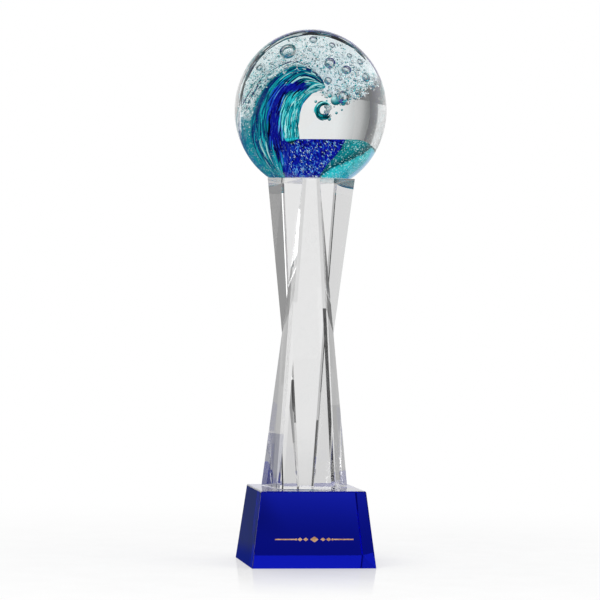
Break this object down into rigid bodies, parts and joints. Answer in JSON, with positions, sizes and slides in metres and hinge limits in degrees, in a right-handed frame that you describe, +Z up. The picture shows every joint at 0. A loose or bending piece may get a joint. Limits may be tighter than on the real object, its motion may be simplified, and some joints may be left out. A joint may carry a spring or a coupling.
{
  "type": "glass award",
  "caption": "Tall glass award: a wave in a clear glass ball on a tower of two crossed crystal wedges, glued to a tapered blue crystal base.",
  "frame": {"origin": "centre of the base block's underside, on the surface that the award stands on", "axes": "+Z up through the tower and the ball, -Y towards the front face of the base"},
  "size_m": [0.0798, 0.0798, 0.2805],
  "materials": {
    "blue_crystal": "polished deep cobalt blue optical crystal",
    "clear_crystal": "polished clear optical crystal",
    "clear_glass": "fire-polished clear studio glass",
    "adhesive": "clear cured adhesive",
    "gold_fill": "tan gold colour fill in the engraving",
    "cobalt_glass": "streaked cobalt glass",
    "aqua_glass": "streaked bright aqua glass",
    "teal_glass": "teal glass grains",
    "foam_glass": "pale glass froth full of fine bubbles"
  },
  "bodies": {
    "root": {"base_block": "blue_crystal", "rule_left": "gold_fill", "rule_right": "gold_fill", "diamond_1": "gold_fill", "diamond_2": "gold_fill", "diamond_3": "gold_fill", "diamond_4": "gold_fill", "diamond_5": "gold_fill", "foot_bond": "adhesive", "front_wedge": "clear_crystal", "rear_wedge": "clear_crystal", "wedge_bond": "adhesive", "ball_bond": "adhesive", "ball_casing": "clear_glass", "wave_face": "aqua_glass", "wave_curl": "cobalt_glass", "wave_back": "teal_glass", "cobalt_pool": "cobalt_glass", "teal_pool": "teal_glass", "foam_layer": "foam_glass"}
  },
  "joints": []
}
